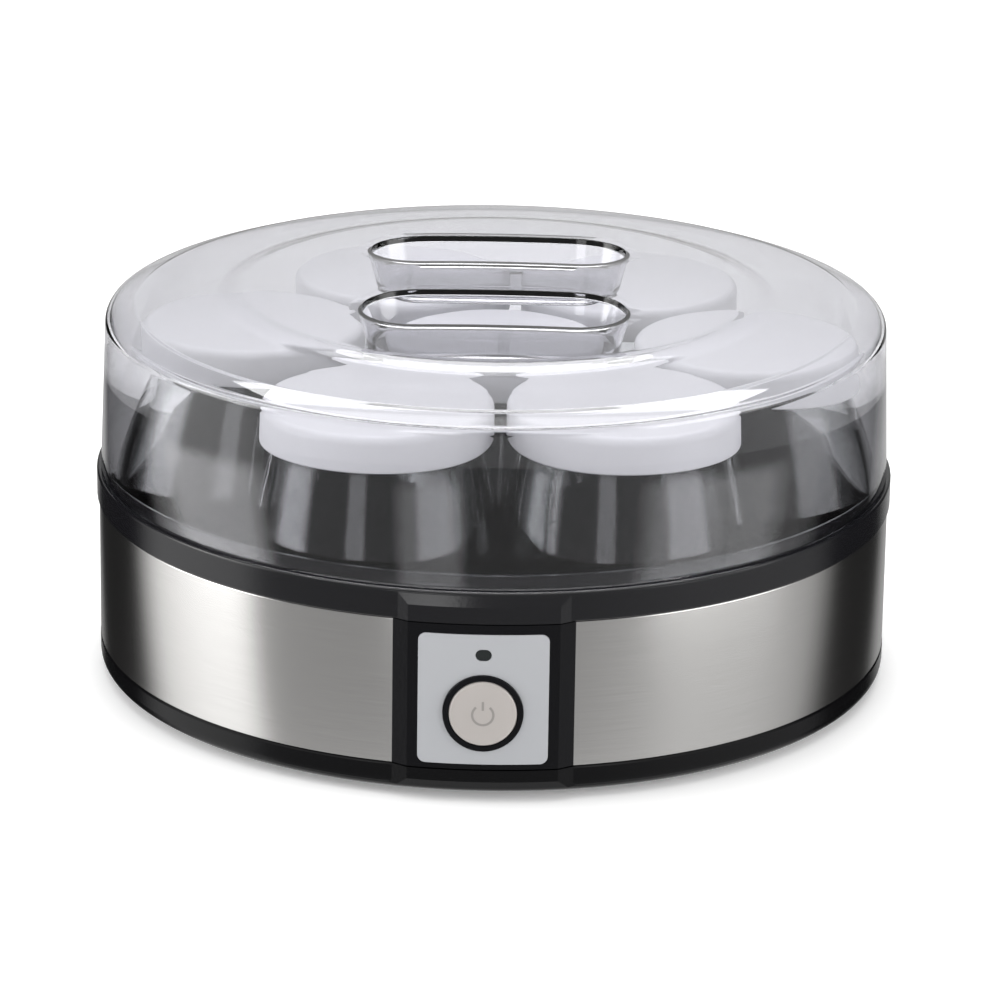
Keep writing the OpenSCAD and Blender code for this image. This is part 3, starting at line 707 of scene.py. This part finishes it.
# %% Turn the lid and join its faces
def lid_outline(deep):
    """The turned part of one face, from the dome down to the lower edge."""
    dome = [(r, dome_height(r) - deep)
            for r in (66, 70, 73, 75, 76, 77, 78, 79, 80, 81, 82, 83, 84, 85, 87, 95)]
    crease = [(CREASE_R - 0.25, dome_height(CREASE_R - 0.25) - deep),
              (CREASE_R + 0.2, CREASE_Z - deep - 0.06)]
    rounding = max(0.5, CORNER_ROUND - deep)
    centre_r = CORNER_R - deep - rounding
    centre_z = CORNER_Z + (CORNER_ROUND - deep - rounding)
    corner = [(centre_r + rounding * math.cos(math.radians(a)),
               centre_z + rounding * math.sin(math.radians(a)))
              for a in (74, 62, 50, 38, 26, 14, 2)]
    return dome + crease + corner


lid_turned = (
    lid_outline(0)
    + [(LID_LOW_R, LID_LOW + 0.7), (LID_LOW_R - 0.2, LID_LOW + 0.2), (LID_LOW_R - 0.7, LID_LOW)]
    + [(LID_LOW_R - LID_WALL + 0.7, LID_LOW), (LID_LOW_R - LID_WALL + 0.2, LID_LOW + 0.2),
       (LID_LOW_R - LID_WALL, LID_LOW + 0.7)]
    + lid_outline(LID_WALL)[::-1])
lid_points, lid_faces = [], []
for k in range(AROUND):
    a = 2 * math.pi * k / AROUND
    lid_points += [(r * math.cos(a), r * math.sin(a), z) for r, z in lid_turned]
rows_of_lid = len(lid_turned)
for k in range(AROUND):
    here, there = k * rows_of_lid, (k + 1) % AROUND * rows_of_lid
    for i in range(rows_of_lid - 1):
        lid_faces.append((here + i, here + i + 1, there + i + 1, there + i))
for deep, row in ((0, 0), (LID_WALL, rows_of_lid - 1)):
    ring = [lid_points[k * rows_of_lid + row] for k in range(AROUND)]
    sheet_points, sheet_faces = sheet_with_wells(deep, ring)
    start = len(lid_points)
    lid_points += sheet_points
    lid_faces += [tuple(start + i for i in (face if deep == 0 else face[::-1])) for face in sheet_faces]
lid_mesh = mesh_of("clear_lid", lid_points, lid_faces)
shape = bmesh.new()
shape.from_mesh(lid_mesh)
bmesh.ops.recalc_face_normals(shape, faces=shape.faces)
open_edges = sum(1 for e in shape.edges if not e.is_manifold)
print("lid volume", round(shape.calc_volume(signed=True) * 1e6, 1), "cm3, open edges", open_edges)
shape.to_mesh(lid_mesh)
shape.free()
lid_mesh.set_sharp_from_angle(angle=math.radians(50))
put(piece_of("clear_lid", lid_mesh, "lid_clear"), "lid", "lid_clear", "lid")

# %% [markdown]
# ## Jars and caps
# Each jar is pressed glass: a thick bottom, a straight belly, a long curved shoulder and a rolled
# lip. Its cap is a soft white shell with a ring under it that plugs the mouth. Both are turned, and
# each of the seven is a piece of its own, because each lifts out on its own.

# %% Turn the jars and the caps
JAR_LOW, JAR_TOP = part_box("jar_1")[0].z / MM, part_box("jar_1")[1].z / MM
CAP_LOW, CAP_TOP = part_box("cap_1")[0].z / MM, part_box("cap_1")[1].z / MM
JAR_R, NECK_R, LIP_R, MOUTH_R, GLASS = 35.2, 30.6, 31.5, 29.0, 2.6
CAP_R, CAP_WALL = 33.7, 1.5
belly_top, shoulder_top = JAR_LOW + 37, JAR_TOP - 10
rise, drop = shoulder_top - belly_top, JAR_R - NECK_R
bend = (rise * rise + drop * drop) / (2 * drop)


def shoulder(inset, angles):
    """The arc that runs from the belly up to the neck."""
    full = math.asin(rise / bend)
    return [(JAR_R - bend + (bend - inset) * math.cos(full * s),
             belly_top + (bend - inset) * math.sin(full * s), 0)
            for s in angles]


jar_outline = rounded(
    [(0, JAR_LOW + 1.4, 0), (21, JAR_LOW + 1.2, 0), (25, JAR_LOW, 1.0), (JAR_R - 1.2, JAR_LOW, 4.0),
     (JAR_R, JAR_LOW + 7, 3.0)]
    + shoulder(0, [0, 0.17, 0.33, 0.5, 0.67, 0.83, 1])
    + [(NECK_R, JAR_TOP - 3.6, 0.5), (LIP_R, JAR_TOP - 2.6, 0.5), (LIP_R, JAR_TOP, 1.0),
       (MOUTH_R, JAR_TOP, 0.9), (MOUTH_R - 0.9, JAR_TOP - 9, 1.5)]
    + shoulder(GLASS, [0.83, 0.67, 0.5, 0.33, 0.17, 0])
    + [(JAR_R - GLASS, JAR_LOW + 11, 2.0), (JAR_R - GLASS - 1.6, JAR_LOW + 4.6, 5.0),
       (0, JAR_LOW + 4.4, 0)], 6)
under = CAP_TOP - CAP_WALL
cap_outline = rounded(
    [(0, under, 0), (MOUTH_R - 1.6, under, 0.3), (MOUTH_R - 1.5, under - 3, 0.2),
     (MOUTH_R - 0.6, under - 3, 0.3), (MOUTH_R - 0.4, under, 0.2), (CAP_R - CAP_WALL, under, 0.8),
     (CAP_R - CAP_WALL, CAP_LOW, 0.3), (CAP_R, CAP_LOW, 0.5), (CAP_R, CAP_TOP, 2.4), (0, CAP_TOP, 0)], 6)
for i in range(1, 8):
    spot = middle(f"jar_{i}")
    at = (spot.x / MM, spot.y / MM, 0)
    put(turned(f"jar_glass_{i}", jar_outline, "jar_glass", at, 112), f"jar_{i}", "jar_glass", f"jar_{i}")
    put(turned(f"jar_cap_{i}", cap_outline, "cap_white", at, 128), f"cap_{i}", "cap_white", f"cap_{i}")

# %% [markdown]
# ## The steel band
# The band is a strip of thin brushed steel, bent round the body and open behind the panel. At the
# back it steps up over the cord inlet. Its edges are slightly rounded, which draws the bright line
# along the top.

# %% Bend the steel band
BAND_R, BAND_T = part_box("steel_band")[1].x / MM, 0.5
BAND_LOW, BAND_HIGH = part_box("steel_band")[0].z / MM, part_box("steel_band")[1].z / MM
NOTCH_Z, NOTCH_HALF, OPENING_HALF = 19.5, 4.87, 9.67


def strip(low):
    return rounded([(BAND_R - BAND_T, low, 0), (BAND_R, low, 0.2), (BAND_R, BAND_HIGH, 0.42),
                    (BAND_R - BAND_T, BAND_HIGH, 0)], 4)


def arc_of(first, last, low, step=1.5):
    count = max(1, round((last - first) / step))
    return [(first + (last - first) * k / count, strip(low)) for k in range(count + 1)]


band_columns = (arc_of(-90 + OPENING_HALF, 90 - NOTCH_HALF, BAND_LOW)
                + arc_of(90 - NOTCH_HALF, 90 + NOTCH_HALF, NOTCH_Z)
                + arc_of(90 + NOTCH_HALF, 270 - OPENING_HALF, BAND_LOW))
band = piece_of("brushed_band", columns_mesh("brushed_band", band_columns, False), "band_steel")
put(band, "base", "band_steel", "steel_band")
print("band", len(band.data.polygons), "faces")

# %% [markdown]
# ## The button
# The button is a shallow dome with a soft edge, turned like a jar and then laid on its side. Its
# mark is the usual one for power, a ring with a bar through its gap, laid on the dome.

# %% Turn the button
BUTTON = middle("button_cap") / MM
BUTTON_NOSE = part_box("button_cap")[0].y / MM
BUTTON_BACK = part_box("button_cap")[1].y / MM
BUTTON_R = (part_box("button_cap")[1].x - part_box("button_cap")[0].x) / MM / 2
BUTTON_CROWN = 0.9
LEAN = Matrix.Rotation(math.radians(90), 4, "X")


def button_face(r):
    """How far the button's face lies from the body's middle, at a distance from the button's own."""
    return -BUTTON_NOSE - BUTTON_CROWN * (r / BUTTON_R) ** 2


button_outline = rounded(
    [(0, button_face(0), 0)] + [(r, button_face(r), 0) for r in (2, 4, 6, 7.6)]
    + [(BUTTON_R, button_face(BUTTON_R), 0.9), (BUTTON_R, -BUTTON_BACK, 0.3),
       (BUTTON_R - 1.6, -BUTTON_BACK, 0.3),
       (BUTTON_R - 1.6, -BUTTON_NOSE - 3.6, 0.5), (0, -BUTTON_NOSE - 3.6, 0)], 6)
button = turned("power_button", button_outline, "button_ivory", (0, 0, 0), 96)
button.data.transform(Matrix.Translation((0, 0, BUTTON.z * MM)) @ LEAN)
put(button, "button", "button_ivory", "button_cap")

# %% Draw the button's mark
MARK_R, MARK_HALF, MARK_LIFT, MARK_GAP = 3.0, 0.34, 0.05, 40


def ribbon(name, route):
    """A thin raised line along a route of (x, z) points on the button's face."""
    points, faces = [], []
    for i, (x, z) in enumerate(route):
        before, after = Vector(route[max(i - 1, 0)]), Vector(route[min(i + 1, len(route) - 1)])
        across = (after - before).normalized().orthogonal() * MARK_HALF
        for side, lift in ((-1, -0.1), (-1, MARK_LIFT), (1, MARK_LIFT), (1, -0.1)):
            u, v = x + side * across.x, z + side * across.y
            points.append((u, -button_face(math.hypot(u, v)) - lift, BUTTON.z + v))
    for i in range(len(route) - 1):
        for k in range(4):
            faces.append((4 * i + k, 4 * i + (k + 1) % 4, 4 * i + 4 + (k + 1) % 4, 4 * i + 4 + k))
    faces += [(0, 3, 2, 1), tuple(4 * (len(route) - 1) + k for k in range(4))]
    return piece_of(name, mesh_of(name, points, faces), "button_mark")


ring_route = [(MARK_R * math.sin(math.radians(a)), MARK_R * math.cos(math.radians(a)))
              for a in range(MARK_GAP, 361 - MARK_GAP, 8)]
put(ribbon("mark_ring", ring_route), "button", "switch_black")
put(ribbon("mark_bar", [(0, 1.4), (0, 2.6), (0, 4.0)]), "button", "switch_black")

# %% [markdown]
# ## The feet
# What repeats is made once and laid out by a tree. One foot is turned, with a shallow dish in its
# sole and a soft edge, and the tree copies it to each of its four places.

# %% The copying tree
copier = bpy.data.node_groups.new("copier", "GeometryNodeTree")
copier_inputs = tree_inputs(copier, {"Item": "Object", "Finish": "Material"})
nodes = Nodes(copier)
places, item, finish, _ = nodes.node("NodeGroupInput", {}, {}, None)
item_shape = nodes.node("GeometryNodeObjectInfo", {}, {"Object": item}, None)[-1]
copies = nodes.node("GeometryNodeInstanceOnPoints", {}, {"Points": places, "Instance": item_shape})
tree_end(nodes, copies, finish)
print("copier inputs:", list(copier_inputs))

# %% Turn one foot and copy it
FOOT_R, FOOT_H, FOOT_RING = 8.0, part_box("rubber_feet")[1].z / MM, 98.0
FOOT_ANGLES = (45, 135, 225, 315)
foot_outline = rounded([(0, 0.5, 0), (5.2, 0.5, 0.3), (5.7, 0, 0.3), (FOOT_R, 0, 0.8), (FOOT_R, FOOT_H, 0.1),
                        (0, FOOT_H, 0)], 5)
foot = turned("one_foot", foot_outline, "foot_rubber", (0, 0, 0), 48)
foot_spots = [(FOOT_RING * math.cos(math.radians(a)), FOOT_RING * math.sin(math.radians(a)), 0)
              for a in FOOT_ANGLES]
feet = grown("four_feet", foot_spots, copier, copier_inputs, {"Item": foot}, "foot_rubber")
bpy.data.objects.remove(foot)
put(feet, "base", "foot_rubber", "rubber_feet")

# %% [markdown]
# ## The table
# A plain pale table holds the object up. It isn't mirrored by the object, so that the steel and the
# black resin show the surroundings alone, as if the table ended just under the rim.

# %% Table
table_finish, nodes = new_finish("pale_table")
mottle = noise(nodes, object_place(nodes), 3, 2)
surface(nodes, Base_Color=nodes.mix(mottle, (0.93, 0.93, 0.93, 1), (0.95, 0.95, 0.95, 1)), Roughness=0.9,
        Specular_IOR_Level=0.1, Emission_Color=(1, 1, 1, 1), Emission_Strength=0.22)
table_mesh = bpy.data.meshes.new("table")
table_mesh.from_pydata([(-6, -6, 0), (6, -6, 0), (6, 6, 0), (-6, 6, 0)], [], [(0, 1, 2, 3)])
table = bpy.data.objects.new("table", table_mesh)
table_mesh.materials.append(table_finish)
scene.collection.objects.link(table)
table.visible_glossy = False
